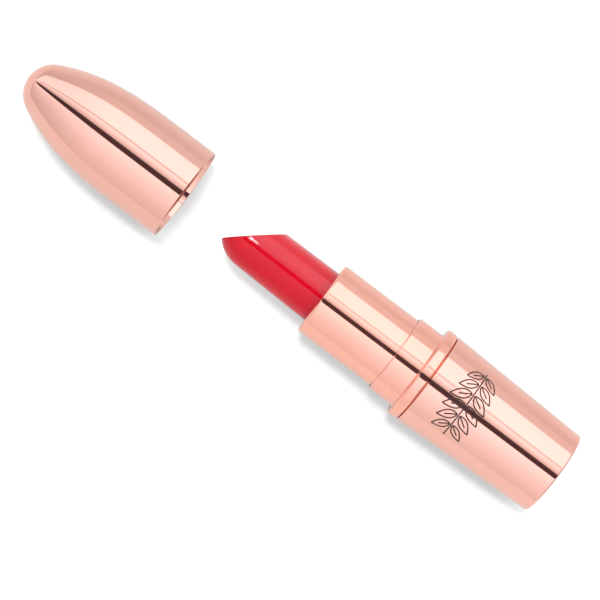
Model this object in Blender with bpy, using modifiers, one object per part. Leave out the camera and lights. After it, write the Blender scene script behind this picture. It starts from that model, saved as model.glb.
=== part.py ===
"""Twist-up lipstick case, lying on its side with the cap pulled off in line.

Everything is turned about one long axis. A turned piece is a profile of (station, radius)
points in millimetres. The station runs along the axis from the upper face of the collar's
bead: positive towards the base, negative towards the nose of the cap. The bullet is wound
fully out. Turning the sleeve winds it back down the straight slots of the guide tube.
"""
import math

import bmesh
import bpy

MM = 0.001
SIDES = 32                      # flats round every turned piece
FLAT = math.cos(math.pi / SIDES)

# Cap
CAP_LENGTH = 40.1
CAP_RADIUS = 10.4
CAP_WALL = 0.5
CAP_TAPER = 26.6                # length of the curved flank between straight wall and nose
NOSE_EDGE_RADIUS = 5.64         # radius at which the flank runs into the round nose
FLANK_POWER = 2.8
FLANK_STEPS = 10
CAP_RIM = -59.7                 # station of the rim with the cap off
RIM_ROUND = 0.1
MOUTH_FLARE = 2.4               # depth over which the wall thins towards the rim
LINER_SETBACK = 3.2
LINER_LENGTH = 11.5
LINER_RADIUS = 9.8
LINER_BORE = 9.2
LINER_LEAD = (0.8, 0.25)         # length and width of the bevel at the liner's mouth

# Wax bullet and its cup
BULLET_TIP = -49.45             # station of the dome's top before the slanted cut
BULLET_TOP_RADIUS = 5.69
BULLET_ROOT_RADIUS = 6.09
BULLET_ROOT = -15.0
DOME_HEIGHT = 6.8
CUT_ANGLE = math.radians(40.3)  # between the slanted face and the axis
CUT_STATION = -45.38            # where the slanted face crosses the axis
CUP_TOP = -23.7
CUP_BOTTOM = -13.7
CUP_RADIUS = 6.6
CUP_BORE = 6.15
CUP_FLOOR = 1.0
LUG_STATION = -14.9
LUG_RADIUS = 0.8
LUG_REACH = 7.6

# Twist mechanism
BULLET_TRAVEL = 24.3
TWIST_TURNS = 1.25
GUIDE_TOP = -24.0
GUIDE_FOOT = 17.2
GUIDE_RADIUS = 7.2
GUIDE_BORE = 6.75
GUIDE_FLOOR = 1.0
SLOT_WIDTH = 2.4
SLOT_CLEARANCE = 0.4
SPIRAL_TOP = -23.9
SPIRAL_FOOT = 12.3
SPIRAL_RADIUS = 7.75
SPIRAL_BORE = 7.35
SPIRAL_FLANGE = 9.0
FLANGE_HEIGHT = 1.0
GROOVE_RADIUS = 1.3             # of the round cutter that follows the helix
GROOVE_LEAD = math.radians(9)   # run-out of the helical slots past the lugs' end positions
RING_STATION = 12.95
RING_MAJOR = 7.58
RING_MINOR = 0.28

# Sleeve
SLEEVE_LIP = -24.7
SLEEVE_FOOT = 9.5
SLEEVE_RADIUS = 8.26
SLEEVE_BORE = 7.87
LIP_BORE = 6.9
LIP_ROUND = 0.7

# Collar: neck, bead and skirt
NECK_TOP = -6.0
NECK_RADIUS_TOP = 8.86
NECK_RADIUS = 8.88
NECK_BORE = 8.5
BROW_ROUND = 0.38              # at the neck's upper edge
NECK_FILLET = 0.32              # where the neck runs into the bead
BEAD_RADIUS = 10.64
BEAD_HEIGHT = 2.45
BEAD_ROUND_TOP = 0.65
BEAD_ROUND_FOOT = 0.9
SKIRT_RADIUS = 9.75
SKIRT_BORE = 9.4
SKIRT_FOOT = 7.0
BUSH_RADIUS = 9.3
BUSH_TOP = 0.7
BUSH_FOOT = 11.0
BUSH_SEAT = (0.3, 0.1)          # free space over and round the bush's top
NUB_STATION = -3.3
NUB_ANGLES = (45, 165, 285)     # degrees round from the top, towards -Y
NUB_SIZE = (0.28, 0.45, 0.6)    # half height, half width, half length
NUB_SINK = 0.16                 # from the neck's surface down to a nub's centre

# Base
BASE_TOP = 2.6
BASE_FOOT = 35.0
BASE_TOP_RADIUS = 10.55
BASE_FOOT_RADIUS = 9.45
BASE_WAIST = 0.075              # how far the flank dips below a straight taper
BASE_WALL = 0.5
BASE_FLOOR = 0.6
CORNER_ROOM = 0.2               # how far the inside corner stays back from the flank's line
FOOT_ROUND = 0.8
LABEL_RECESS = 0.3
LABEL_RADIUS = 6.4
LABEL_GAP = 0.2                 # all round the label in its recess
LABEL_GLUE = 0.05
LABEL_THICKNESS = 0.12
MOUTH_ROUND = 0.25              # half the wall, at the base's open end
FLANK_FOOT = 4.0                # the flank's lowest ring, counted from the foot's round
FLANK_STEP = 4.6
INSERT_TOP = 11.2
INSERT_FIT = 0.1
FLANGE_POCKET = 9.12
FLANGE_LEDGE = 12.6
RING_POCKET = 7.98
RING_LEDGE = 13.6
SOCKET_RADIUS = 7.3
SOCKET_FLOOR = 17.6
WEIGHT_RADIUS = 6.5
WEIGHT_TOP = 20.4
WEIGHT_FOOT = 33.8
WEIGHT_BEVEL = 0.4
POCKET_WALL = 1.0
POCKET_GAP = 0.2                # round the weight
CEILING_HOLE = 2.5              # vent between the socket and the weight's pocket
CEILING_FOOT = 20.0
RELIEF_ROOF = 0.4               # how far the moulding relief reaches past the pocket's ceiling
INSERT_SETBACK = 0.3            # of the insert's foot from the base's floor
INSERT_CHAMFER = (1.5, 0.35)
INSERT_RINGS = (27.0, 19.0)     # rings that let the insert follow the base's waist
RING_SAG = 0.03                 # keeps the straight runs between rings inside the curved flank

AXIS_HEIGHT = BEAD_RADIUS * FLAT
CENTRE_STATION = (CAP_RIM - CAP_LENGTH + BASE_FOOT) / 2

COLOURS = {
    "rose_gold": ((0.93, 0.56, 0.46), 0.12, 1.0),
    "rose_gold_cap": ((0.92, 0.58, 0.49), 0.12, 1.0),
    "ivory_plastic": ((0.86, 0.84, 0.80), 0.45, 0.0),
    "white_plastic": ((0.90, 0.90, 0.88), 0.40, 0.0),
    "steel": ((0.55, 0.55, 0.56), 0.35, 1.0),
    "silicone": ((0.75, 0.76, 0.76), 0.60, 0.0),
    "label_film": ((0.93, 0.92, 0.90), 0.55, 0.0),
    "red_wax": ((0.74, 0.03, 0.06), 0.30, 0.0),
}


def clear_scene():
    for item in list(bpy.data.objects):
        bpy.data.objects.remove(item, do_unlink=True)


def collection(name):
    group = bpy.data.collections.new(name)
    bpy.context.scene.collection.children.link(group)
    return group


def material(name):
    colour, roughness, metallic = COLOURS[name]
    made = bpy.data.materials.get(name) or bpy.data.materials.new(name)
    made.use_nodes = True
    shader = made.node_tree.nodes["Principled BSDF"]
    shader.inputs["Base Color"].default_value = (*colour, 1)
    shader.inputs["Roughness"].default_value = roughness
    shader.inputs["Metallic"].default_value = metallic
    return made


def arc(centre, radius, start, end, steps):
    """Points of a profile's arc. Angles in degrees: 0 along +station, 90 along +radius."""
    station, height = centre
    turns = [math.radians(start + (end - start) * i / steps) for i in range(steps + 1)]
    return [(station + radius * math.cos(a), height + radius * math.sin(a)) for a in turns]


def axis_empty(name, parent=None):
    """An empty on the long axis. Its Z runs along the case towards the base."""
    empty = bpy.data.objects.new(name, None)
    parts.objects.link(empty)
    if parent:
        empty.parent = parent
    else:
        empty.location = (-CENTRE_STATION * MM, 0, AXIS_HEIGHT * MM)
        empty.rotation_euler = (0, math.pi / 2, 0)
    return empty


def turned(name, profile, colour, parent, closed=True):
    """Screw a profile round the axis. It runs down the outer side, then up the inner side."""
    mesh = bpy.data.meshes.new(name)
    points = [(radius * MM, 0, station * MM) for station, radius in profile]
    edges = [(i, i + 1) for i in range(len(points) - 1)]
    if closed:
        edges.append((len(points) - 1, 0))
    mesh.from_pydata(points, edges, [])
    piece = bpy.data.objects.new(name, mesh)
    parts.objects.link(piece)
    piece.parent = parent
    piece.rotation_euler.z = math.pi / SIDES      # a flat, not a corner, faces the ground
    screw = piece.modifiers.new("Turn", "SCREW")
    screw.axis = "Z"
    screw.steps = screw.render_steps = SIDES
    screw.use_merge_vertices = True
    screw.merge_threshold = 1e-6
    screw.use_smooth_shade = False
    mesh.materials.append(material(colour))
    return piece


def tool_object(name, mesh, parent):
    """A helper shape for a Boolean, kept out of the model."""
    tool = bpy.data.objects.new(name, mesh)
    cutters.objects.link(tool)
    tool.parent = parent
    tool.hide_render = True
    tool.display_type = "WIRE"
    return tool


def combine(piece, tool, operation):
    step = piece.modifiers.new(tool.name, "BOOLEAN")
    step.operation = operation
    step.object = tool
    step.solver = "EXACT"


def block(name, size, parent):
    mesh = bpy.data.meshes.new(name)
    bm = bmesh.new()
    bmesh.ops.create_cube(bm, size=1)
    bmesh.ops.scale(bm, vec=[s * MM for s in size], verts=bm.verts)
    bm.to_mesh(mesh)
    bm.free()
    return tool_object(name, mesh, parent)


def cap_outline(offset=0.0):
    """Cap profile from the rim to the nose, moved inwards by offset along its normal."""
    slope = FLANK_POWER * (CAP_RADIUS - NOSE_EDGE_RADIUS) / CAP_TAPER
    lean = math.atan2(1, slope)                   # nose sphere's angle at the flank's end
    nose = NOSE_EDGE_RADIUS / math.sin(lean)
    nose_depth = nose * (1 - math.cos(lean))
    tip = CAP_RIM - CAP_LENGTH
    points = []
    for i in range(FLANK_STEPS + 1):
        part = i / FLANK_STEPS
        station = tip + nose_depth + CAP_TAPER * (1 - part)
        radius = CAP_RADIUS - (CAP_RADIUS - NOSE_EDGE_RADIUS) * part ** FLANK_POWER
        tilt = math.atan(slope * part ** (FLANK_POWER - 1))
        points.append((station + offset * math.sin(tilt), radius - offset * math.cos(tilt)))
    for i in range(1, 7):
        turn = lean * (1 - i / 6)
        reach = nose - offset
        points.append((tip + nose - reach * math.cos(turn), reach * math.sin(turn)))
    return points


def base_radius(station):
    along = (station - BASE_TOP) / (BASE_FOOT - BASE_TOP)
    straight = BASE_TOP_RADIUS + (BASE_FOOT_RADIUS - BASE_TOP_RADIUS) * along
    return straight - 4 * BASE_WAIST * along * (1 - along)


def cap_shell(parent):
    inner = list(reversed(cap_outline(CAP_WALL)))
    inner.append((CAP_RIM - MOUTH_FLARE, CAP_RADIUS - CAP_WALL))
    rim = arc((CAP_RIM - RIM_ROUND, CAP_RADIUS - RIM_ROUND), RIM_ROUND, -90, 90, 4)
    return turned("cap_shell", inner + rim + cap_outline(), "rose_gold_cap", parent, closed=False)


def cap_liner(parent):
    top = CAP_RIM - LINER_SETBACK
    foot = top - LINER_LENGTH
    length, width = LINER_LEAD
    profile = [(top, LINER_RADIUS), (foot, LINER_RADIUS), (foot, LINER_BORE),
               (top - length, LINER_BORE), (top, LINER_BORE + width)]
    return turned("cap_liner", profile, "ivory_plastic", parent)


def bullet(parent):
    dome_base = BULLET_TIP + DOME_HEIGHT
    profile = [(BULLET_ROOT, 0), (BULLET_ROOT, BULLET_ROOT_RADIUS), (CUP_TOP, BULLET_ROOT_RADIUS)]
    for i in range(9):
        turn = math.pi / 2 * i / 8
        station = dome_base - DOME_HEIGHT * math.sin(turn)
        profile.append((station, BULLET_TOP_RADIUS * math.cos(turn)))
    profile[-1] = (BULLET_TIP, 0)
    piece = turned("bullet", profile, "red_wax", parent, closed=False)
    size = 4 * BULLET_TOP_RADIUS                  # of the block that takes the slanted face
    cutter = block("bullet_cut", (size, size, size), parent)
    normal = (math.cos(CUT_ANGLE), -math.sin(CUT_ANGLE))      # across (Y) and along (station)
    cutter.location = (0, normal[0] * size / 2 * MM, (CUT_STATION + normal[1] * size / 2) * MM)
    cutter.rotation_euler.x = -(math.pi / 2 + CUT_ANGLE)
    combine(piece, cutter, "DIFFERENCE")
    return piece


def bullet_cup(parent):
    floor = CUP_BOTTOM - CUP_FLOOR
    profile = [(CUP_BOTTOM, 0), (CUP_BOTTOM, CUP_RADIUS), (CUP_TOP, CUP_RADIUS),
               (CUP_TOP, CUP_BORE), (floor, CUP_BORE), (floor, 0)]
    piece = turned("bullet_cup", profile, "white_plastic", parent, closed=False)
    root = (CUP_BORE + CUP_RADIUS) / 2            # each lug starts inside the cup's wall
    for side in (-1, 1):
        mesh = bpy.data.meshes.new("lug")
        bm = bmesh.new()
        bmesh.ops.create_cone(bm, cap_ends=True, segments=16, radius1=LUG_RADIUS * MM,
                              radius2=LUG_RADIUS * MM, depth=(LUG_REACH - root) * MM)
        bm.to_mesh(mesh)
        bm.free()
        lug = tool_object("lug", mesh, parent)
        lug.location = (0, side * (LUG_REACH + root) / 2 * MM, LUG_STATION * MM)
        lug.rotation_euler.x = math.pi / 2
        combine(piece, lug, "UNION")
    return piece


def guide_tube(parent):
    floor = GUIDE_FOOT - GUIDE_FLOOR
    profile = [(GUIDE_FOOT, 0), (GUIDE_FOOT, GUIDE_RADIUS), (GUIDE_TOP, GUIDE_RADIUS),
               (GUIDE_TOP, GUIDE_BORE), (floor, GUIDE_BORE), (floor, 0)]
    piece = turned("guide_tube", profile, "white_plastic", parent, closed=False)
    start = LUG_STATION - LUG_RADIUS - SLOT_CLEARANCE
    end = LUG_STATION + BULLET_TRAVEL + LUG_RADIUS + SLOT_CLEARANCE
    slots = block("straight_slots", (SLOT_WIDTH, 3 * GUIDE_RADIUS, end - start), parent)
    slots.location.z = (start + end) / 2 * MM
    combine(piece, slots, "DIFFERENCE")
    return piece


def helix_cutter(name, start_angle, parent):
    """A round cutter's path along the slot that a lug follows as the sleeve turns."""
    sweep = 2 * math.pi * TWIST_TURNS
    steps = 54
    radius = (SPIRAL_BORE + SPIRAL_RADIUS) / 2
    curve = bpy.data.curves.new(name, "CURVE")
    curve.dimensions = "3D"
    curve.bevel_depth = GROOVE_RADIUS * MM
    curve.bevel_resolution = 2
    curve.use_fill_caps = True
    spline = curve.splines.new("POLY")
    spline.points.add(steps)
    for i, point in enumerate(spline.points):
        turn = -GROOVE_LEAD + (sweep + 2 * GROOVE_LEAD) * i / steps
        station = LUG_STATION + BULLET_TRAVEL * turn / sweep
        angle = start_angle - turn
        point.co = (radius * math.cos(angle) * MM, radius * math.sin(angle) * MM, station * MM, 1)
    path = bpy.data.objects.new(name, curve)
    cutters.objects.link(path)
    path.parent = parent
    bpy.context.view_layer.update()
    graph = bpy.context.evaluated_depsgraph_get()
    mesh = bpy.data.meshes.new_from_object(path.evaluated_get(graph))
    bpy.data.objects.remove(path, do_unlink=True)
    bm = bmesh.new()
    bm.from_mesh(mesh)
    bmesh.ops.remove_doubles(bm, verts=bm.verts, dist=1e-6)
    bmesh.ops.recalc_face_normals(bm, faces=bm.faces)
    bm.to_mesh(mesh)
    bm.free()
    return tool_object(name, mesh, parent)


def spiral_tube(parent):
    flange_top = SPIRAL_FOOT - FLANGE_HEIGHT
    profile = [(SPIRAL_FOOT, SPIRAL_FLANGE), (flange_top, SPIRAL_FLANGE), (flange_top, SPIRAL_RADIUS),
               (SPIRAL_TOP, SPIRAL_RADIUS), (SPIRAL_TOP, SPIRAL_BORE), (SPIRAL_FOOT, SPIRAL_BORE)]
    piece = turned("spiral_tube", profile, "ivory_plastic", parent)
    for i, side in enumerate((math.pi / 2, -math.pi / 2)):
        combine(piece, helix_cutter(f"helix_{i}", side, parent), "DIFFERENCE")
    return piece


def outer_sleeve(parent):
    lip = arc((SLEEVE_LIP + LIP_ROUND, SLEEVE_RADIUS - LIP_ROUND), LIP_ROUND, 90, 180, 4)
    wall = SLEEVE_RADIUS - SLEEVE_BORE
    profile = [(SLEEVE_FOOT, SLEEVE_RADIUS)] + lip + [
        (SLEEVE_LIP, LIP_BORE), (SLEEVE_LIP + wall, LIP_BORE), (SLEEVE_LIP + wall, SLEEVE_BORE),
        (SLEEVE_FOOT, SLEEVE_BORE)]
    return turned("outer_sleeve", profile, "rose_gold", parent)


def snap_collar(parent):
    crown = arc((BEAD_HEIGHT - BEAD_ROUND_FOOT, BEAD_RADIUS - BEAD_ROUND_FOOT),
                BEAD_ROUND_FOOT, 38, 90, 3)
    shoulder = arc((BEAD_ROUND_TOP, BEAD_RADIUS - BEAD_ROUND_TOP), BEAD_ROUND_TOP, 90, 180, 5)
    hollow = arc((-NECK_FILLET, NECK_RADIUS + NECK_FILLET), NECK_FILLET, 0, -90, 3)
    brow = arc((NECK_TOP + BROW_ROUND, NECK_RADIUS_TOP - BROW_ROUND), BROW_ROUND, 90, 180, 3)
    profile = [(SKIRT_FOOT, SKIRT_RADIUS), (BEAD_HEIGHT, SKIRT_RADIUS)] + crown + shoulder
    profile += hollow + brow
    wall = SKIRT_RADIUS - SKIRT_BORE
    over, around = BUSH_SEAT
    seat = BUSH_TOP - over
    profile += [(NECK_TOP, NECK_BORE), (seat, NECK_BORE), (seat, BUSH_RADIUS + around),
                (BEAD_HEIGHT - wall, SKIRT_BORE), (SKIRT_FOOT, SKIRT_BORE)]
    piece = turned("snap_collar", profile, "rose_gold", parent)
    for i, angle in enumerate(NUB_ANGLES):
        mesh = bpy.data.meshes.new("nub")
        bm = bmesh.new()
        bmesh.ops.create_uvsphere(bm, u_segments=12, v_segments=8, radius=1)
        bmesh.ops.scale(bm, vec=[s * MM for s in NUB_SIZE], verts=bm.verts)
        bm.to_mesh(mesh)
        bm.free()
        nub = tool_object(f"nub_{i}", mesh, parent)
        turn = math.radians(angle + 180)
        reach = NECK_RADIUS - NUB_SINK
        nub.location = (reach * math.cos(turn) * MM, reach * math.sin(turn) * MM, NUB_STATION * MM)
        nub.rotation_euler.z = turn
        combine(piece, nub, "UNION")
    return piece


def collar_bush(parent):
    profile = [(BUSH_FOOT, BUSH_RADIUS), (BUSH_TOP, BUSH_RADIUS), (BUSH_TOP, NECK_BORE),
               (BUSH_FOOT, NECK_BORE)]
    return turned("collar_bush", profile, "white_plastic", parent)


def friction_ring(parent):
    profile = arc((RING_STATION, RING_MAJOR), RING_MINOR, 0, 315, 7)
    return turned("friction_ring", profile, "silicone", parent)


def base_shell(parent):
    recess = BASE_FOOT - LABEL_RECESS
    bend = BASE_FOOT - FOOT_ROUND
    corner = arc((bend, base_radius(bend) - FOOT_ROUND), FOOT_ROUND, 0, 85, 4)
    flank = [bend - FLANK_FOOT - i * FLANK_STEP for i in range(6)]
    outer = [(s, base_radius(s)) for s in flank]
    lip = BASE_TOP + MOUTH_ROUND
    mouth = arc((lip, base_radius(lip) - MOUTH_ROUND), MOUTH_ROUND, 90, 270, 4)
    inner = [(s, base_radius(s) - BASE_WALL) for s in reversed(flank)]
    floor = BASE_FOOT - BASE_FLOOR
    profile = [(recess, 0), (recess, LABEL_RADIUS + LABEL_GAP), (BASE_FOOT, LABEL_RADIUS + LABEL_GAP)]
    profile += corner + outer + mouth + inner
    profile += [(floor, base_radius(floor) - BASE_WALL - CORNER_ROOM), (floor, 0)]
    return turned("base_shell", profile, "rose_gold_cap", parent, closed=False)


def base_insert(parent):
    foot = BASE_FOOT - BASE_FLOOR - INSERT_SETBACK
    length, width = INSERT_CHAMFER

    def outside(station):
        return base_radius(station) - BASE_WALL - INSERT_FIT

    pocket = WEIGHT_RADIUS + POCKET_GAP
    relief_top = CEILING_FOOT - RELIEF_ROOF
    relief_in = pocket + POCKET_WALL
    relief_out = outside(foot) - POCKET_WALL
    profile = [(foot, relief_out), (foot, outside(foot) - width)]
    profile += [(s, outside(s) - RING_SAG) for s in (foot - length, *INSERT_RINGS, INSERT_TOP)]
    profile += [(INSERT_TOP, FLANGE_POCKET), (FLANGE_LEDGE, FLANGE_POCKET),
                (FLANGE_LEDGE, RING_POCKET), (RING_LEDGE, RING_POCKET),
                (RING_LEDGE, SOCKET_RADIUS), (SOCKET_FLOOR, SOCKET_RADIUS),
                (SOCKET_FLOOR, CEILING_HOLE), (CEILING_FOOT, CEILING_HOLE),
                (CEILING_FOOT, pocket), (foot, pocket),
                (foot, relief_in), (relief_top, relief_in), (relief_top, relief_out)]
    return turned("base_insert", profile, "white_plastic", parent)


def base_weight(parent):
    profile = [(WEIGHT_FOOT, 0), (WEIGHT_FOOT, WEIGHT_RADIUS - WEIGHT_BEVEL),
               (WEIGHT_FOOT - WEIGHT_BEVEL, WEIGHT_RADIUS),
               (WEIGHT_TOP + WEIGHT_BEVEL, WEIGHT_RADIUS),
               (WEIGHT_TOP, WEIGHT_RADIUS - WEIGHT_BEVEL), (WEIGHT_TOP, 0)]
    return turned("base_weight", profile, "steel", parent, closed=False)


def shade_label(parent):
    top = BASE_FOOT - LABEL_RECESS + LABEL_GLUE
    foot = top + LABEL_THICKNESS
    profile = [(foot, 0), (foot, LABEL_RADIUS), (top, LABEL_RADIUS), (top, 0)]
    return turned("shade_label", profile, "label_film", parent, closed=False)


clear_scene()
parts = collection("lipstick_case")
cutters = collection("cutters")

case_axis = axis_empty("case_axis")
sleeve_axis = axis_empty("sleeve_axis", case_axis)
carriage_axis = axis_empty("carriage_axis", case_axis)
cap_axis = axis_empty("cap_axis", carriage_axis)

for make in (base_shell, base_insert, base_weight, shade_label, snap_collar, collar_bush,
             guide_tube, friction_ring):
    make(case_axis)
for make in (outer_sleeve, spiral_tube):
    make(sleeve_axis)
for make in (bullet_cup, bullet):
    make(carriage_axis)
for make in (cap_shell, cap_liner):
    make(cap_axis)
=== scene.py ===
"""Looks of the twist-up lipstick case: polished rose-gold shells, wax bullet, plain studio."""

import math

import bmesh
import bpy
import numpy as np
from mathutils import Matrix, Vector


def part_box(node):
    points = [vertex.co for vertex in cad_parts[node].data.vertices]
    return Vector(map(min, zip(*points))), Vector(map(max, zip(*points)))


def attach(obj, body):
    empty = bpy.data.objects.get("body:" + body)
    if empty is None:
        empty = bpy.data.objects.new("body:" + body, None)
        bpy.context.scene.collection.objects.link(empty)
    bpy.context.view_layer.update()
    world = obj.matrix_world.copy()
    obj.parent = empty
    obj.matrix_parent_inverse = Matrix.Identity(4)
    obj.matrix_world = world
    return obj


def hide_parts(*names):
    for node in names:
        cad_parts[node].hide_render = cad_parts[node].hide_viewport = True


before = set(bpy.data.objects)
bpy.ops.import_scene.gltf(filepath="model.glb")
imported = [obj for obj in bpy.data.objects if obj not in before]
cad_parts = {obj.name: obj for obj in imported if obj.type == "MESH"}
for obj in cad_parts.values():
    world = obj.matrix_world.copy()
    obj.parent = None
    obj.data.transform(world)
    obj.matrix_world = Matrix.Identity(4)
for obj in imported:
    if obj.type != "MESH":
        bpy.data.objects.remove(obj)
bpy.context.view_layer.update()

MM = 0.001
ROUND = 256                     # segments round every turned piece

# Places read from the frame, in millimetres
LOW = {name: [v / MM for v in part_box(name)[0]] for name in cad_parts}
HIGH = {name: [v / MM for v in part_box(name)[1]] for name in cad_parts}
AXIS_HEIGHT = (LOW["snap_collar"][2] + HIGH["snap_collar"][2]) / 2
BASE_FOOT = 35.0
BEAD_STATION = HIGH["base_shell"][0] - BASE_FOOT  # the bead's upper face; stations count from it

# Cap
CAP_LENGTH = 40.1
CAP_RADIUS = 10.4
CAP_WALL = 0.5
CAP_TAPER = 26.6
NOSE_EDGE_RADIUS = 5.64
CAP_RIM = -59.7
FLANK_POWER = 2.8
RIM_ROUND = 0.1
MOUTH_FLARE = 1.0               # depth over which the wall thins towards the rim
LINER_TOP = CAP_RIM - 3.2
LINER_FOOT = LINER_TOP - 11.5
LINER_RADIUS = 9.8
LINER_BORE = 9.2
LINER_LEAD = (0.8, 9.42)        # length of the bevel at its mouth, and the radius that it opens to
LINER_MOUTH = (0.1, 9.5)        # the same for the short chamfer past it

# Wax bullet and cup
BULLET_TIP = -49.45
BULLET_ROOT = -15.0
BULLET_TOP_RADIUS = 5.69
BULLET_ROOT_RADIUS = 6.09
DOME_HEIGHT = 6.8
CUT_ANGLE = math.radians(40.3)
CUT_STATION = -45.38            # where the slanted face crosses the case's axis
BULLET_LEAN = math.radians(0.7)  # the wax stands a little askew in its cup
BULLET_SHIFT = 0.08
CUT_EDGE = 0.22                 # width of the rounding along the slanted face's rim
CUP_TOP = -23.7
CUP_ROOT = -13.7
CUP_FLOOR = -14.7
CUP_RADIUS = 6.6
CUP_BORE = 6.15
CUP_EDGES = (0.12, 0.1)         # chamfers at the cup's mouth, outside and inside
LUG_STATION = -14.9
LUG_RADIUS = 0.8
LUG_SPAN = (6.35, 7.6)          # from the axis to a lug's near and far end
ROTATE_ACROSS = Matrix.Rotation(math.pi / 2, 3, "X")

WAX_RED = ((0.53, 0.0010, 0.0105), (0.49, 0.0014, 0.0135))  # the pigment's two shades
WAX_BOUNCE = (0.05, 0.02, 0.02)  # what the wax throws on the floor, less than it would by itself
WAX_ROUGHNESS = (0.05, 0.12)
WAX_RIPPLES = (420, 2300, 2300)  # mould marks, drawn out along the stick
WAX_RIPPLE_DEPTH = 1.3e-5       # in metres, as are the dents
WAX_DENT_DEPTH = 3.0e-5
WAX_SUBSURFACE = 0.08
WAX_SUBSURFACE_RADIUS = (1.0, 0.12, 0.08)
WAX_SUBSURFACE_SCALE = 0.0006
WAX_SPECULAR = 0.30
WAX_HIGHLIGHT_COAT = (0.0, 0.9)           # painted highlight: coat weight on the dull -Y side and on the bright +Y side, so the +Y side shines brighter
WAX_HIGHLIGHT_COAT_EDGE = (0.2, 1.2)      # where the one passes into the other, along Y
WAX_COAT_IOR = 1.40
WAX_COAT_ROUGHNESS = 0.08

# Sleeve, collar and base
SLEEVE_LIP = -24.7
SLEEVE_FOOT = 9.5
SLEEVE_RADIUS = 8.26
SLEEVE_BORE = 7.87
LIP_ROUND = 0.7
LIP_CURL = 0.2                  # radius at the rolled lip's inner edge
LIP_BORE = 6.9
LIP_DEPTH = 0.46
NECK_TOP = -6.0
NECK_RADIUS = 8.88
NECK_BORE = 8.48
NECK_FILLET = 0.32              # where the neck runs into the bead
BROW_ROUND = 0.38               # at the neck's upper edge
BEAD_RADIUS = 10.6
BEAD_HEIGHT = 2.55
BEAD_ROUND = 0.65               # at the bead's upper face
CROWN_ROUND = 0.7               # at its lower face, where it opens the groove to the base
CROWN_START = 10                # degrees at which that rounding meets the skirt's side
SKIRT_FOOT = 7.0
SKIRT_RADIUS = 9.75
SKIRT_BORE = 9.4
BEAD_FLOOR = (0.4, 0.35)        # metal left above and below the hollow inside the bead
NUB_STATION = -3.3
NUB_ANGLES = (45, 165, 285)     # degrees round from the top, towards -Y
NUB_SIZE = (0.28, 0.45, 0.6)    # half height, half width, half length
NUB_SINK = 0.16                 # from the neck's surface down to a nub's centre
BASE_TOP = 2.6
BASE_TOP_RADIUS = 10.55
BASE_FOOT_RADIUS = 9.45
BASE_WAIST = 0.075              # how far the flank dips below a straight taper
BASE_WALL = 0.5
BASE_EDGE = 0.3                 # outer rounding at the base's open end
FOOT_SETBACK = 0.1              # keeps the foot inside the CAD's
FOOT_ROUND = 0.55
FLANK_MARGIN = 0.1              # between the flank's rings and the rounded ends
RECESS_DEPTH = 0.3              # of the label's seat in the foot
RECESS_RADIUS = 6.6
RECESS_CREASE = 0.05
RECESS_EDGE = 0.08
FLOOR_DEPTH = 0.6
CORNER_ROOM = 0.2               # how far the inside corner stays back from the flank's line

# Label in the foot
LABEL_PRINT = 6.5               # radius that the print's rings are parts of
LABEL_RINGS = (0.52, 0.84, 0.875)  # end of the swatch, start and end of the thin ring
LABEL_COLOURS = ((0.86, 0.85, 0.83, 1), (0.50, 0.012, 0.03, 1), (0.09, 0.05, 0.045, 1))

# Printed sprig on the base
STEM_STATION = 11.4
STEM_SPAN = (-49.5, 44.4)       # degrees round from the top, towards -Y
STROKE = 0.30
INK_HEIGHT = 0.012
LEAF_PAIRS = 6
LEAF_REACH = 4.1                # of the largest leaf, along the case
LEAF_BELLY = 0.21               # half width over length
LEAF_SHRINK = 0.10              # per pair away from the sprig's middle
LEAF_GAP = 0.35                 # between the stem and a leaf's root
VEIN = 0.62                     # part of the leaf that its vein runs along


def arc(centre, radius, start, end, steps):
    """Points of a profile's arc. Angles in degrees: 0 along +station, 90 along +radius."""
    station, height = centre
    turns = [math.radians(start + (end - start) * i / steps) for i in range(steps + 1)]
    return [(station + radius * math.cos(a), height + radius * math.sin(a)) for a in turns]


def supported(profile, closed, hold=0.05):
    """Adds a point close to both ends of every long straight run, so shading stays flat there."""
    points = []
    count = len(profile)
    for i in range(count if closed else count - 1):
        a, b = np.array(profile[i]), np.array(profile[(i + 1) % count])
        length = float(np.linalg.norm(b - a))
        points.append(tuple(a))
        if length > 4 * hold:
            step = (b - a) * hold / length
            points += [tuple(a + step), tuple(b - step)]
    if not closed:
        points.append(tuple(profile[-1]))
    return points


def on_surface(station, radius, turn):
    """World point at a station, a radius and an angle round from the top towards -Y."""
    return ((station + BEAD_STATION) * MM, -radius * math.sin(turn) * MM,
            (AXIS_HEIGHT + radius * math.cos(turn)) * MM)


def piece_from(name, verts, faces, sharp=40):
    mesh = bpy.data.meshes.new(name)
    mesh.from_pydata(verts, [], faces)
    mesh.update()
    bm = bmesh.new()
    bm.from_mesh(mesh)
    bmesh.ops.recalc_face_normals(bm, faces=bm.faces)
    bm.to_mesh(mesh)
    bm.free()
    smooth(mesh, sharp)
    piece = bpy.data.objects.new(name, mesh)
    bpy.context.scene.collection.objects.link(piece)
    return piece


def smooth(mesh, sharp):
    mesh.shade_smooth()
    mesh.set_sharp_from_angle(angle=math.radians(sharp))


def lathe(name, profile, closed=True, sharp=40, turns=None, swell=None):
    """A turned piece from a profile of (station, radius) in millimetres, with smooth shading.

    Turns are the angles of its segments. Swell may change the radius from place to place.
    """
    turns = turns or [2 * math.pi * i / ROUND for i in range(ROUND)]
    segments = len(turns)
    verts, rings = [], []
    for station, radius in supported(profile, closed):
        if radius < 1e-6:
            rings.append([len(verts)] * segments)
            verts.append(on_surface(station, 0, 0))
            continue
        rings.append(list(range(len(verts), len(verts) + segments)))
        for turn in turns:
            reach = swell(station, radius, turn) if swell else radius
            verts.append(on_surface(station, reach, turn))
    faces = []
    for k in range(len(rings) if closed else len(rings) - 1):
        a, b = rings[k], rings[(k + 1) % len(rings)]
        for i in range(segments):
            j = (i + 1) % segments
            face = list(dict.fromkeys([a[i], a[j], b[j], b[i]]))
            if len(face) > 2:
                faces.append(face)
    return piece_from(name, verts, faces, sharp)


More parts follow.
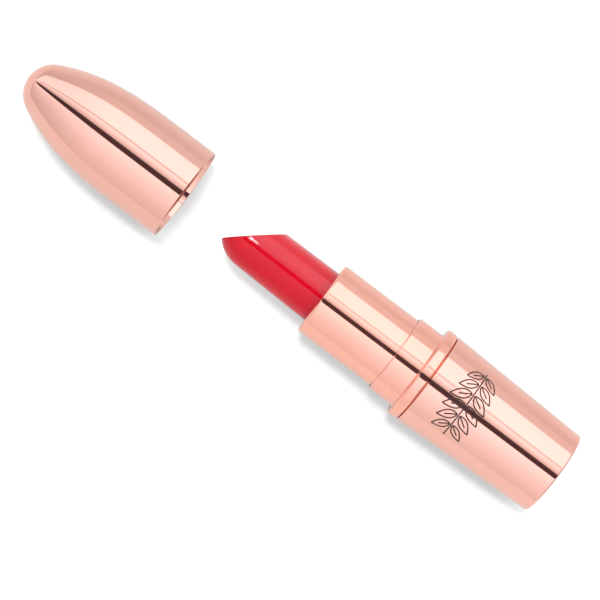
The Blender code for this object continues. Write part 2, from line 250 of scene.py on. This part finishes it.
# ---------------------------------------------------------------- turned shells

def cap_outline(offset, flank_steps=60, nose_steps=24):
    """Cap profile from the rim to the nose, moved inwards by offset along its normal."""
    slope = FLANK_POWER * (CAP_RADIUS - NOSE_EDGE_RADIUS) / CAP_TAPER
    lean = math.atan2(1, slope)
    nose = NOSE_EDGE_RADIUS / math.sin(lean)
    nose_depth = nose * (1 - math.cos(lean))
    tip = CAP_RIM - CAP_LENGTH
    points = []
    for i in range(flank_steps + 1):
        part = i / flank_steps
        station = tip + nose_depth + CAP_TAPER * (1 - part)
        radius = CAP_RADIUS - (CAP_RADIUS - NOSE_EDGE_RADIUS) * part ** FLANK_POWER
        tilt = math.atan(slope * part ** (FLANK_POWER - 1))
        points.append((station + offset * math.sin(tilt), radius - offset * math.cos(tilt)))
    for i in range(1, nose_steps + 1):
        turn = lean * (1 - i / nose_steps)
        reach = nose - offset
        points.append((tip + nose - reach * math.cos(turn), reach * math.sin(turn)))
    points[-1] = (tip + offset, 0)
    return points


def cap_shell():
    inner = cap_outline(CAP_WALL)[::-1] + [(CAP_RIM - MOUTH_FLARE, CAP_RADIUS - CAP_WALL)]
    rim = arc((CAP_RIM - RIM_ROUND, CAP_RADIUS - RIM_ROUND), RIM_ROUND, -90, 90, 10)
    return lathe("cap_shell_polished", inner + rim + cap_outline(0), closed=False)


def cap_liner():
    profile = [(LINER_TOP, LINER_RADIUS), (LINER_FOOT, LINER_RADIUS), (LINER_FOOT, LINER_BORE)]
    profile += [(LINER_TOP - LINER_LEAD[0], LINER_BORE), (LINER_TOP - LINER_MOUTH[0], LINER_LEAD[1]),
                (LINER_TOP, LINER_MOUTH[1])]
    return lathe("cap_liner_moulded", profile)


def base_radius(station):
    along = (station - BASE_TOP) / (BASE_FOOT - BASE_TOP)
    straight = BASE_TOP_RADIUS + (BASE_FOOT_RADIUS - BASE_TOP_RADIUS) * along
    return straight - 4 * BASE_WAIST * along * (1 - along)


def base_shell():
    foot, wall, corner, edge = BASE_FOOT - FOOT_SETBACK, BASE_WALL, FOOT_ROUND, BASE_EDGE
    flank = list(np.linspace(foot - corner - FLANK_MARGIN, BASE_TOP + edge + FLANK_MARGIN, 50))
    seat = foot - RECESS_DEPTH
    profile = [(seat, 0), (seat, RECESS_RADIUS - RECESS_CREASE), (seat + RECESS_CREASE, RECESS_RADIUS),
               (foot - RECESS_EDGE, RECESS_RADIUS)]
    profile += arc((foot - RECESS_EDGE, RECESS_RADIUS + RECESS_EDGE), RECESS_EDGE, 270, 360, 4)[1:]
    profile += arc((foot - corner, base_radius(foot - corner) - corner), corner, 0, 88, 16)
    profile += [(s, base_radius(s)) for s in flank]
    brim = base_radius(BASE_TOP + edge)
    profile += arc((BASE_TOP + edge, brim - edge), edge, 91, 180, 10)
    profile += arc((BASE_TOP + wall - edge, brim - edge), wall - edge, 180, 270, 6)[1:]
    profile += [(s, base_radius(s) - wall) for s in flank[::-1]]
    floor = foot - FLOOR_DEPTH
    profile += [(floor, base_radius(floor) - wall - CORNER_ROOM), (floor, 0)]
    return lathe("base_shell_polished", profile, closed=False)


def outer_sleeve():
    lip, foot, radius, roll = SLEEVE_LIP, SLEEVE_FOOT, SLEEVE_RADIUS, LIP_ROUND
    profile = [(foot, radius)] + arc((lip + roll, radius - roll), roll, 90, 180, 16)
    profile += arc((lip + LIP_CURL, LIP_BORE + LIP_CURL), LIP_CURL, 180, 270, 6)
    profile += [(lip + LIP_DEPTH, LIP_BORE), (lip + LIP_DEPTH, SLEEVE_BORE), (foot, SLEEVE_BORE)]
    return lathe("outer_sleeve_polished", profile)


def nub_turns(step=0.25, spread=5.0):
    """Angles round the collar, closer together where a nub stands."""
    coarse = [360 * i / ROUND for i in range(ROUND)]
    fine = []
    for angle in NUB_ANGLES:
        coarse = [a for a in coarse if abs(a - angle) > spread + step / 2]
        count = round(2 * spread / step)
        fine += [angle - spread + step * i for i in range(count + 1)]
    return [math.radians(a) for a in sorted(coarse + fine)]


def nub_height(station, radius, turn):
    """Radius of the neck's skin, raised where a nub stands."""
    high, wide, long = NUB_SIZE
    for angle in NUB_ANGLES:
        side = radius * math.sin(turn - math.radians(angle)) / wide
        ahead = (station - NUB_STATION) / long
        left = 1 - side ** 2 - ahead ** 2
        if left > 0 and math.cos(turn - math.radians(angle)) > 0:
            radius = max(radius, NECK_RADIUS - NUB_SINK + high * math.sqrt(left))
    return radius


def united(piece, others, sharp=40):
    """Joins pieces into one solid skin and drops what lies inside."""
    for other in others:
        step = piece.modifiers.new("join", "BOOLEAN")
        step.operation = "UNION"
        step.solver = "EXACT"
        step.object = other
    graph = bpy.context.evaluated_depsgraph_get()
    mesh = bpy.data.meshes.new_from_object(piece.evaluated_get(graph))
    piece.modifiers.clear()
    piece.data = mesh
    for other in others:
        bpy.data.objects.remove(other, do_unlink=True)
    smooth(mesh, sharp)
    return piece


def snap_collar():
    bead, height, neck = BEAD_RADIUS, BEAD_HEIGHT, NECK_RADIUS
    crown = arc((height - CROWN_ROUND, bead - CROWN_ROUND), CROWN_ROUND, CROWN_START, 90, 16)
    shoulder = arc((BEAD_ROUND, bead - BEAD_ROUND), BEAD_ROUND, 90, 180, 16)
    hollow = arc((-NECK_FILLET, neck + NECK_FILLET), NECK_FILLET, 0, -90, 10)
    brow = arc((NECK_TOP + BROW_ROUND, NECK_BORE), BROW_ROUND, 90, 180, 10)
    reach = NUB_SIZE[2] + 0.1
    neck_rows = [(NUB_STATION + reach * (1 - 2 * i / 28), neck) for i in range(29)]
    above, below = BEAD_FLOOR
    profile = [(SKIRT_FOOT, SKIRT_RADIUS), (height, SKIRT_RADIUS)]
    profile += crown + shoulder + hollow + neck_rows + brow
    profile += [(above, NECK_BORE), (above, SKIRT_BORE), (height - below, SKIRT_BORE),
                (SKIRT_FOOT, SKIRT_BORE)]
    return lathe("snap_collar_polished", profile, turns=nub_turns(), swell=nub_height)


# ---------------------------------------------------------------- wax bullet

def bullet():
    """A domed stick, leaning a little, with one slanted face and a softly rounded edge."""
    dome_base = BULLET_TIP + DOME_HEIGHT
    profile = [(BULLET_ROOT, 0), (BULLET_ROOT, BULLET_ROOT_RADIUS)]
    steps = 40
    for i in range(steps + 1):
        part = i / steps
        station = BULLET_ROOT + (dome_base - BULLET_ROOT) * part
        profile.append((station, BULLET_ROOT_RADIUS + (BULLET_TOP_RADIUS - BULLET_ROOT_RADIUS) * part))
    for i in range(1, 29):
        turn = math.pi / 2 * i / 28
        profile.append((dome_base - DOME_HEIGHT * math.sin(turn), BULLET_TOP_RADIUS * math.cos(turn)))
    profile[-1] = (BULLET_TIP, 0)
    piece = lathe("bullet_moulded", profile, closed=False)
    bm = bmesh.new()
    bm.from_mesh(piece.data)
    root = (BULLET_ROOT + BEAD_STATION) * MM
    for vert in bm.verts:
        out = (root - vert.co.x) * math.tan(BULLET_LEAN)
        vert.co.y += BULLET_SHIFT * MM + out
    normal = (-math.sin(CUT_ANGLE), math.cos(CUT_ANGLE), 0)
    point = ((CUT_STATION + BEAD_STATION) * MM, 0, 0)
    cut = bmesh.ops.bisect_plane(bm, geom=bm.verts[:] + bm.edges[:] + bm.faces[:], dist=1e-9,
                                 plane_co=point, plane_no=normal, clear_outer=True)
    rim = [e for e in cut["geom_cut"] if isinstance(e, bmesh.types.BMEdge)]
    bmesh.ops.holes_fill(bm, edges=rim, sides=0)
    bmesh.ops.recalc_face_normals(bm, faces=bm.faces)
    rim = [e for e in bm.edges if e.calc_face_angle(0) > math.radians(25)
           and all(abs((v.co.x - point[0]) * normal[0] + v.co.y * normal[1]) < 1e-7 for v in e.verts)]
    bmesh.ops.bevel(bm, geom=rim, offset=CUT_EDGE * MM, segments=4, profile=0.5, affect="EDGES")
    bm.to_mesh(piece.data)
    bm.free()
    smooth(piece.data, 50)
    return piece


def bullet_cup():
    floor, bore, radius, root, top = CUP_FLOOR, CUP_BORE, CUP_RADIUS, CUP_ROOT, CUP_TOP
    outside, inside = CUP_EDGES
    profile = [(root, 0), (root, radius), (top + outside, radius), (top, radius - outside),
               (top, bore + inside), (top + inside, bore), (floor, bore), (floor, 0)]
    cup = lathe("bullet_cup_moulded", profile, closed=False)
    lugs = []
    near, far = LUG_SPAN
    for side in (-1, 1):
        mesh = bpy.data.meshes.new("lug")
        bm = bmesh.new()
        bmesh.ops.create_cone(bm, cap_ends=True, segments=24, radius1=LUG_RADIUS * MM,
                              radius2=LUG_RADIUS * MM, depth=(far - near) * MM)
        bmesh.ops.rotate(bm, verts=bm.verts, matrix=ROTATE_ACROSS)
        bmesh.ops.translate(bm, verts=bm.verts, vec=((LUG_STATION + BEAD_STATION) * MM,
                                                     side * (near + far) / 2 * MM, AXIS_HEIGHT * MM))
        bm.to_mesh(mesh)
        bm.free()
        lug = bpy.data.objects.new("lug", mesh)
        bpy.context.scene.collection.objects.link(lug)
        lugs.append(lug)
    return united(cup, lugs)


# ---------------------------------------------------------------- printed sprig

def ribbon(points, width, name):
    """A thin strip of ink along (arc length, station) points laid on the base's flank."""
    verts, faces = [], []
    count = len(points)
    for i, point in enumerate(points):
        before = np.array(points[max(i - 1, 0)])
        after = np.array(points[min(i + 1, count - 1)])
        along = (after - before) / np.linalg.norm(after - before)
        aside = np.array([-along[1], along[0]]) * width / 2
        for side, lift in ((1, INK_HEIGHT), (-1, INK_HEIGHT), (-1, -INK_HEIGHT), (1, -INK_HEIGHT)):
            run, station = np.array(point) + side * aside
            radius = base_radius(station) + lift
            verts.append(on_surface(station, radius, run / base_radius(STEM_STATION)))
    for i in range(count - 1):
        for k in range(4):
            n = (k + 1) % 4
            faces.append([4 * i + k, 4 * i + n, 4 * (i + 1) + n, 4 * (i + 1) + k])
    last = 4 * (count - 1)
    faces += [[0, 1, 2, 3], [last, last + 1, last + 2, last + 3]]
    return piece_from(name, verts, faces)


def leaf_sides(root, tip, belly, steps=24):
    """Both edges of a pointed leaf between two (arc length, station) points."""
    root, tip = np.array(root), np.array(tip)
    across = np.array([-(tip - root)[1], (tip - root)[0]])
    sides = []
    for side in (-1, 1):
        line = []
        for i in range(steps + 1):
            part = i / steps
            swell = math.sin(math.pi * part ** 0.8) * belly * side
            line.append(tuple(root + (tip - root) * part + across * swell))
        sides.append(line)
    return sides


def sprig():
    """A stem round the base with paired leaves, printed in dark ink."""
    radius = base_radius(STEM_STATION)
    start, end = (math.radians(a) * radius for a in STEM_SPAN)
    stem = [(start + (end - start) * i / 90, STEM_STATION) for i in range(91)]
    strokes = [stem]
    pitch = (end - start) / (LEAF_PAIRS + 0.6)
    for i in range(LEAF_PAIRS):
        foot = start + pitch * (i + 0.35)
        size = 1 - LEAF_SHRINK * abs(i - (LEAF_PAIRS - 1) / 2)
        for side in (-1, 1):
            root = (foot, STEM_STATION + side * LEAF_GAP)
            tip = (foot + pitch * 0.95, STEM_STATION + side * (LEAF_GAP + LEAF_REACH * size))
            strokes += leaf_sides(root, tip, LEAF_BELLY)
            vein_end = tuple(np.array(root) + VEIN * (np.array(tip) - np.array(root)))
            strokes.append([tuple(np.array(root) + (np.array(vein_end) - np.array(root)) * k / 12)
                            for k in range(13)])
    inks = [ribbon(line, STROKE, f"ink_{i}") for i, line in enumerate(strokes)]
    bm = bmesh.new()
    for strip in inks:
        bm.from_mesh(strip.data)
    mesh = bpy.data.meshes.new("printed_sprig")
    bm.to_mesh(mesh)
    bm.free()
    for strip in inks:
        bpy.data.objects.remove(strip, do_unlink=True)
    piece = bpy.data.objects.new("printed_sprig", mesh)
    bpy.context.scene.collection.objects.link(piece)
    return piece


# ---------------------------------------------------------------- materials

def blank(name):
    material = bpy.data.materials.new(name)
    material.use_nodes = True
    tree = material.node_tree
    return material, tree.nodes, tree.links, tree.nodes["Principled BSDF"]


def noise(nodes, links, scale, detail=3.0, stretch=None):
    """Noise in object space. Stretch scales the space first, so grain can run one way."""
    where = nodes.new("ShaderNodeTexCoord")
    source = where.outputs["Object"]
    if stretch:
        move = nodes.new("ShaderNodeMapping")
        move.inputs["Scale"].default_value = stretch
        links.new(source, move.inputs["Vector"])
        source = move.outputs["Vector"]
    made = nodes.new("ShaderNodeTexNoise")
    made.inputs["Scale"].default_value = scale
    made.inputs["Detail"].default_value = detail
    links.new(source, made.inputs["Vector"])
    return made.outputs["Fac"]


def spread(nodes, links, value, low, high, edges=(0.0, 1.0)):
    made = nodes.new("ShaderNodeMapRange")
    made.inputs["From Min"].default_value, made.inputs["From Max"].default_value = edges
    made.inputs["To Min"].default_value, made.inputs["To Max"].default_value = low, high
    links.new(value, made.inputs["Value"])
    return made.outputs["Result"]


def blend(nodes, links, factor, first, second):
    made = nodes.new("ShaderNodeMix")
    made.data_type = "RGBA"
    made.inputs["A"].default_value = (*first, 1)
    made.inputs["B"].default_value = (*second, 1)
    links.new(factor, made.inputs["Factor"])
    return made.outputs["Result"]


def relief(nodes, links, height, depth, before=None):
    """A bump of the given depth in metres, on top of an earlier one if there is one."""
    made = nodes.new("ShaderNodeBump")
    made.inputs["Distance"].default_value = depth
    links.new(height, made.inputs["Height"])
    if before:
        links.new(before, made.inputs["Normal"])
    return made.outputs["Normal"]


def polished_metal(name, colour, roughness, waviness):
    """Anodised, polished aluminium: slow waves in the skin and faint handling haze."""
    material, nodes, links, shader = blank(name)
    shader.inputs["Metallic"].default_value = 1.0
    haze = noise(nodes, links, 160, 6)
    smudge = noise(nodes, links, 55, 2)
    links.new(spread(nodes, links, haze, roughness - 0.015, roughness + 0.02, (0.35, 0.65)),
              shader.inputs["Roughness"])
    tint = blend(nodes, links, spread(nodes, links, smudge, 0, 1, (0.4, 0.6)), colour,
                 (colour[0], colour[1] * 0.975, colour[2] * 0.965))
    links.new(tint, shader.inputs["Base Color"])
    waves = noise(nodes, links, 90, 1)
    links.new(relief(nodes, links, waves, waviness), shader.inputs["Normal"])
    return material


def wax(name):
    """Moulded wax: mottled pigment, mould ripples, and a painted highlight: a coat on the +Y side that
    brightens that side's highlight.
    """
    material, nodes, links, shader = blank(name)
    pigment = noise(nodes, links, 420, 6)
    colour = blend(nodes, links, spread(nodes, links, pigment, 0, 1, (0.3, 0.7)), *WAX_RED)
    rays = nodes.new("ShaderNodeLightPath")
    mixed = nodes.new("ShaderNodeMix")
    mixed.data_type = "RGBA"
    links.new(rays.outputs["Is Diffuse Ray"], mixed.inputs["Factor"])
    links.new(colour, mixed.inputs["A"])
    mixed.inputs["B"].default_value = (*WAX_BOUNCE, 1)
    links.new(mixed.outputs["Result"], shader.inputs["Base Color"])
    bloom = noise(nodes, links, 260, 4)
    links.new(spread(nodes, links, bloom, *WAX_ROUGHNESS, (0.35, 0.7)), shader.inputs["Roughness"])
    # Painted highlight: the coat weight grows along Y, so the +Y side of the stick shines brighter.
    where = nodes.new("ShaderNodeTexCoord")
    split = nodes.new("ShaderNodeSeparateXYZ")
    links.new(where.outputs["Object"], split.inputs["Vector"])
    links.new(spread(nodes, links, split.outputs["Y"], WAX_HIGHLIGHT_COAT[0], WAX_HIGHLIGHT_COAT[1],
                     [v * MM for v in WAX_HIGHLIGHT_COAT_EDGE]), shader.inputs["Coat Weight"])
    shader.inputs["Coat IOR"].default_value = WAX_COAT_IOR
    shader.inputs["Coat Roughness"].default_value = WAX_COAT_ROUGHNESS
    shader.inputs["Specular IOR Level"].default_value = WAX_SPECULAR
    shader.inputs["Subsurface Weight"].default_value = WAX_SUBSURFACE
    shader.inputs["Subsurface Radius"].default_value = WAX_SUBSURFACE_RADIUS
    shader.inputs["Subsurface Scale"].default_value = WAX_SUBSURFACE_SCALE
    ripples = noise(nodes, links, 1, 3, WAX_RIPPLES)
    dents = noise(nodes, links, 190, 2)
    first = relief(nodes, links, dents, WAX_DENT_DEPTH)
    links.new(relief(nodes, links, ripples, WAX_RIPPLE_DEPTH, first), shader.inputs["Normal"])
    return material


def plastic(name, colour, roughness, grain=1600):
    """Injection-moulded plastic: fine spark-eroded grain and a slight unevenness of colour."""
    material, nodes, links, shader = blank(name)
    cloud = noise(nodes, links, 120, 3)
    links.new(blend(nodes, links, cloud, colour, tuple(c * 0.94 for c in colour)),
              shader.inputs["Base Color"])
    links.new(spread(nodes, links, cloud, roughness - 0.05, roughness + 0.05),
              shader.inputs["Roughness"])
    links.new(relief(nodes, links, noise(nodes, links, grain, 3), 2.0e-6), shader.inputs["Normal"])
    return material


def steel(name):
    """Bar steel with drawn grain along the axis and dull patches."""
    material, nodes, links, shader = blank(name)
    shader.inputs["Metallic"].default_value = 1.0
    grain = noise(nodes, links, 1, 4, (60, 2400, 2400))
    links.new(blend(nodes, links, grain, (0.58, 0.57, 0.56), (0.44, 0.43, 0.43)),
              shader.inputs["Base Color"])
    links.new(spread(nodes, links, grain, 0.28, 0.45), shader.inputs["Roughness"])
    links.new(relief(nodes, links, grain, 2.0e-6), shader.inputs["Normal"])
    return material


def ink(name):
    """Hot-stamped dark brown foil, a little uneven where it took."""
    material, nodes, links, shader = blank(name)
    patch = noise(nodes, links, 900, 3)
    links.new(blend(nodes, links, patch, (0.030, 0.010, 0.008), (0.055, 0.020, 0.016)),
              shader.inputs["Base Color"])
    links.new(spread(nodes, links, patch, 0.25, 0.42), shader.inputs["Roughness"])
    return material


def paper_label(name):
    """White film label: a swatch of the shade inside a thin ring, printed round the axis."""
    material, nodes, links, shader = blank(name)
    where = nodes.new("ShaderNodeTexCoord")
    split = nodes.new("ShaderNodeSeparateXYZ")
    links.new(where.outputs["Object"], split.inputs["Vector"])
    join = nodes.new("ShaderNodeCombineXYZ")
    height = nodes.new("ShaderNodeMath")
    height.operation = "SUBTRACT"
    height.inputs[1].default_value = AXIS_HEIGHT * MM
    links.new(split.outputs["Z"], height.inputs[0])
    links.new(split.outputs["Y"], join.inputs["X"])
    links.new(height.outputs["Value"], join.inputs["Y"])
    reach = nodes.new("ShaderNodeVectorMath")
    reach.operation = "LENGTH"
    links.new(join.outputs["Vector"], reach.inputs[0])
    ramp = nodes.new("ShaderNodeValToRGB")
    ramp.color_ramp.interpolation = "CONSTANT"
    links.new(spread(nodes, links, reach.outputs["Value"], 0, 1, (0, LABEL_PRINT * MM)), ramp.inputs["Fac"])
    white, red, brown = LABEL_COLOURS
    swatch, ring_start, ring_end = LABEL_RINGS
    stops = ramp.color_ramp.elements
    stops[0].position, stops[0].color = 0.0, red
    stops[1].position, stops[1].color = swatch, white
    for position, colour in ((ring_start, brown), (ring_end, white)):
        stop = stops.new(position)
        stop.color = colour
    links.new(ramp.outputs["Color"], shader.inputs["Base Color"])
    fibre = noise(nodes, links, 2500, 4)
    links.new(spread(nodes, links, fibre, 0.45, 0.6), shader.inputs["Roughness"])
    links.new(relief(nodes, links, fibre, 1.5e-6), shader.inputs["Normal"])
    return material


def dress(piece, material):
    piece.data.materials.clear()
    piece.data.materials.append(material)
    return piece


def stand_for(piece, node, body, material):
    dress(piece, material)
    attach(piece, body)
    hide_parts(node)
    return piece


def dress_node(name, material, sharp=30):
    """A carried-over CAD node: smooth shading between its flats, and a real material."""
    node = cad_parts[name]
    smooth(node.data, sharp)
    dress(node, material)


base_metal = polished_metal("base_rose_gold", (0.93, 0.505, 0.42), 0.04, 2.5e-6)
cap_metal = polished_metal("cap_rose_gold", (0.88, 0.487, 0.405), 0.04, 4.0e-6)
sleeve_metal = polished_metal("sleeve_rose_gold", (0.98, 0.49, 0.39), 0.045, 2.5e-6)
ivory = plastic("ivory_moulding", (0.80, 0.77, 0.71), 0.42)
white = plastic("white_moulding", (0.84, 0.84, 0.82), 0.38)

stand_for(cap_shell(), "cap_shell", "cap", cap_metal)
stand_for(cap_liner(), "cap_liner", "cap", ivory)
stand_for(base_shell(), "base_shell", "base", base_metal)
stand_for(snap_collar(), "snap_collar", "base", sleeve_metal)
stand_for(outer_sleeve(), "outer_sleeve", "sleeve", sleeve_metal)
stand_for(bullet(), "bullet", "carriage", wax("glossy_red_wax"))
stand_for(bullet_cup(), "bullet_cup", "carriage", white)

print_layer = dress(sprig(), ink("brown_foil"))
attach(print_layer, "base")

dress_node("guide_tube", white)
dress_node("spiral_tube", ivory)
dress_node("collar_bush", white)
dress_node("base_insert", white)
dress_node("base_weight", steel("bar_steel"))
dress_node("friction_ring", plastic("silicone_rubber", (0.70, 0.71, 0.71), 0.55))
dress_node("shade_label", paper_label("printed_film"))


# ---------------------------------------------------------------- studio

KEY_TILT = math.radians(12)     # of the main light from straight overhead
KEY_SIDE = (-0.6, 0.8)          # the way it leans: towards the cap's nose and +Y
KEY_SOFTNESS = math.radians(10)
KEY_POWER = 1.5
FLOOR_WHITE = 0.82
FLOOR_TINT = (1.0, 0.975, 0.935)  # evens out the tint of the bright cards
FLOOR_GLOW = 0.20               # the sheet is lit a little from below
FLOOR_SHADE_IN_METAL = (0.64, 0.50)   # painted shade: the floor as mirrored in the metal, dimmer than the sheet near the case and darker still far off on the +Y side
FLOOR_FADE = (0.018, 0.060)     # where it goes from the one to the other, in metres

# Brightness of the studio by direction: degrees from overhead, positive towards +Y
BANDS = [(-180, 0.95), (-95, 0.90), (-88, 0.90), (-67, 1.0), (-45, 1.12), (-30, 1.26), (-12, 1.46),
         (-9.9, 1.48), (-9.2, 0.085), (2.7, 0.085), (3.2, 0.66), (5, 0.88), (7.5, 1.0), (10, 1.10),
         (12.5, 1.25), (15, 1.38), (17.5, 1.50), (20.0, 1.50), (20.9, 0.92), (23.2, 0.92),
         (24.2, 1.5), (27, 1.68), (67.5, 1.62), (69.5, 0.93), (88, 0.90), (95, 0.88), (180, 0.95)]
BAND_PEAK = 2.0
DARK_TINT = (1.0, 0.70, 0.80)   # the dark band is a warm grey card
FOOT_END = (0.62, 0.86, 0.42)   # towards the foot the cards end: X of the direction, level left
NOSE_END = (-0.25, -0.75, 0.82)  # and towards the cap's nose
BRIGHT_LEVEL = 1.1              # from here up the cards are tinted
BRIGHT_TINT = (1.0, 1.03, 1.08)
LAMP_STATION = -43.6            # where the small lamp points, at the start of the wax's dome
LAMP_SIDE = (-0.18, 0.25, 1.0)
LAMP_DISTANCE = 0.025
LAMP_SIZE = (0.010, 0.0042)      # along X and across it
LAMP_POWER = 0.00006
LAMP_BEAM = math.radians(24)
CAMERA_HEIGHT = 0.45            # over the case's axis, in metres
VIEW_STATION = -27.9            # where the camera stands along the case, and beside it
VIEW_ASIDE = -3.0
VIEW_TURN = math.radians(37.15)
MM_PER_PIXEL = 0.205            # at the axis
PICTURE_WIDTH = 600
SENSOR_WIDTH = 36
FLOOR_SIZE = 1.5
FLOOR_DROP = 0.00006            # keeps the floor clear of the lowest faces
FLOOR_ROUGHNESS = 0.9


def floor():
    mesh = bpy.data.meshes.new("studio_floor")
    bm = bmesh.new()
    bmesh.ops.create_grid(bm, x_segments=1, y_segments=1, size=FLOOR_SIZE)
    bm.to_mesh(mesh)
    bm.free()
    piece = bpy.data.objects.new("studio_floor", mesh)
    piece.location.z = -FLOOR_DROP
    bpy.context.scene.collection.objects.link(piece)
    material, nodes, links, shader = blank("white_sweep")
    rays = nodes.new("ShaderNodeLightPath")
    where = nodes.new("ShaderNodeTexCoord")
    split = nodes.new("ShaderNodeSeparateXYZ")
    links.new(where.outputs["Object"], split.inputs["Vector"])
    # Painted shade: in glossy rays the floor is dimmer, and darker still far off on the +Y side.
    near, far = FLOOR_SHADE_IN_METAL
    fade = spread(nodes, links, split.outputs["Y"], 0, 1, FLOOR_FADE)
    sheet = [FLOOR_WHITE * c for c in FLOOR_TINT]
    mirrored_shade = blend(nodes, links, fade, [c * near for c in sheet], [c * far for c in sheet])
    colour = nodes.new("ShaderNodeMix")
    colour.data_type = "RGBA"
    colour.inputs["A"].default_value = (*sheet, 1)
    links.new(mirrored_shade, colour.inputs["B"])
    links.new(rays.outputs["Is Glossy Ray"], colour.inputs["Factor"])
    links.new(colour.outputs["Result"], shader.inputs["Base Color"])
    shader.inputs["Roughness"].default_value = FLOOR_ROUGHNESS
    shader.inputs["Specular IOR Level"].default_value = 0.0
    shader.inputs["Emission Color"].default_value = (1, 1, 1, 1)
    shader.inputs["Emission Strength"].default_value = FLOOR_GLOW
    dress(piece, material)


def studio_world():
    world = bpy.data.worlds.new("studio")
    bpy.context.scene.world = world
    world.use_nodes = True
    nodes, links = world.node_tree.nodes, world.node_tree.links
    nodes.clear()
    where = nodes.new("ShaderNodeTexCoord")
    split = nodes.new("ShaderNodeSeparateXYZ")
    links.new(where.outputs["Generated"], split.inputs["Vector"])
    turn = nodes.new("ShaderNodeMath")
    turn.operation = "ARCTAN2"
    links.new(split.outputs["Y"], turn.inputs[0])
    links.new(split.outputs["Z"], turn.inputs[1])
    ramp = nodes.new("ShaderNodeValToRGB")
    links.new(spread(nodes, links, turn.outputs["Value"], 0, 1, (-math.pi, math.pi)),
              ramp.inputs["Fac"])
    stops = ramp.color_ramp.elements
    while len(stops) > 1:
        stops.remove(stops[-1])
    for i, (angle, level) in enumerate(BANDS):
        stop = stops[0] if i == 0 else stops.new((angle + 180) / 360)
        stop.position = (angle + 180) / 360
        tint = DARK_TINT if level < 0.5 else BRIGHT_TINT if level >= BRIGHT_LEVEL else (1, 1, 1)
        stop.color = (*[level * c / BAND_PEAK for c in tint], 1)
    foot_end = spread(nodes, links, split.outputs["X"], BAND_PEAK, BAND_PEAK * FOOT_END[2],
                      FOOT_END[:2])
    nose_end = spread(nodes, links, split.outputs["X"], 1, NOSE_END[2], NOSE_END[:2])
    ends = nodes.new("ShaderNodeMath")
    ends.operation = "MULTIPLY"
    links.new(foot_end, ends.inputs[0])
    links.new(nose_end, ends.inputs[1])
    glow = nodes.new("ShaderNodeBackground")
    links.new(ends.outputs["Value"], glow.inputs["Strength"])
    links.new(ramp.outputs["Color"], glow.inputs["Color"])
    plain = nodes.new("ShaderNodeBackground")
    plain.inputs["Color"].default_value = (1, 1, 1, 1)
    rays = nodes.new("ShaderNodeLightPath")
    choose = nodes.new("ShaderNodeMixShader")
    links.new(rays.outputs["Is Camera Ray"], choose.inputs["Fac"])
    links.new(glow.outputs["Background"], choose.inputs[1])
    links.new(plain.outputs["Background"], choose.inputs[2])
    out = nodes.new("ShaderNodeOutputWorld")
    links.new(choose.outputs["Shader"], out.inputs["Surface"])


def key_light():
    """One soft main light, nearly overhead, that throws the shadow towards -Y and the foot."""
    data = bpy.data.lights.new("key", "SUN")
    data.energy = KEY_POWER
    data.angle = KEY_SOFTNESS
    piece = bpy.data.objects.new("key", data)
    side_x, side_y = (c * math.sin(KEY_TILT) for c in KEY_SIDE)
    towards = Vector((side_x, side_y, math.cos(KEY_TILT)))
    piece.rotation_euler = towards.to_track_quat("Z", "Y").to_euler()
    piece.visible_glossy = False
    bpy.context.scene.collection.objects.link(piece)


def glint_lamp():
    """A small lamp with a narrow beam close over the wax's tip, seen only as a glint in it."""
    data = bpy.data.lights.new("glint", "AREA")
    data.shape = "RECTANGLE"
    data.size, data.size_y = LAMP_SIZE
    data.energy = LAMP_POWER
    data.spread = LAMP_BEAM
    piece = bpy.data.objects.new("glint", data)
    aim = Vector(((LAMP_STATION + BEAD_STATION) * MM, 0, (AXIS_HEIGHT + BULLET_TOP_RADIUS) * MM))
    towards = Vector(LAMP_SIDE).normalized()
    across = towards.cross(Vector((1, 0, 0))).normalized()
    turn = Matrix((across.cross(towards), across, towards)).transposed()
    piece.location = aim + towards * LAMP_DISTANCE
    piece.rotation_euler = turn.to_euler()
    piece.visible_camera = piece.visible_diffuse = False
    bpy.context.scene.collection.objects.link(piece)


def camera():
    data = bpy.data.cameras.new("camera")
    data.sensor_width = SENSOR_WIDTH
    data.lens = CAMERA_HEIGHT / MM / MM_PER_PIXEL * SENSOR_WIDTH / PICTURE_WIDTH
    data.clip_start = 0.01
    piece = bpy.data.objects.new("camera", data)
    piece.location = ((BEAD_STATION + VIEW_STATION) * MM, VIEW_ASIDE * MM,
                      AXIS_HEIGHT * MM + CAMERA_HEIGHT)
    piece.rotation_euler = (0, 0, VIEW_TURN)
    bpy.context.scene.collection.objects.link(piece)
    bpy.context.scene.camera = piece


floor()
studio_world()
key_light()
glint_lamp()
camera()
scene = bpy.context.scene
scene.view_settings.view_transform = "Standard"
scene.cycles.caustics_reflective = False
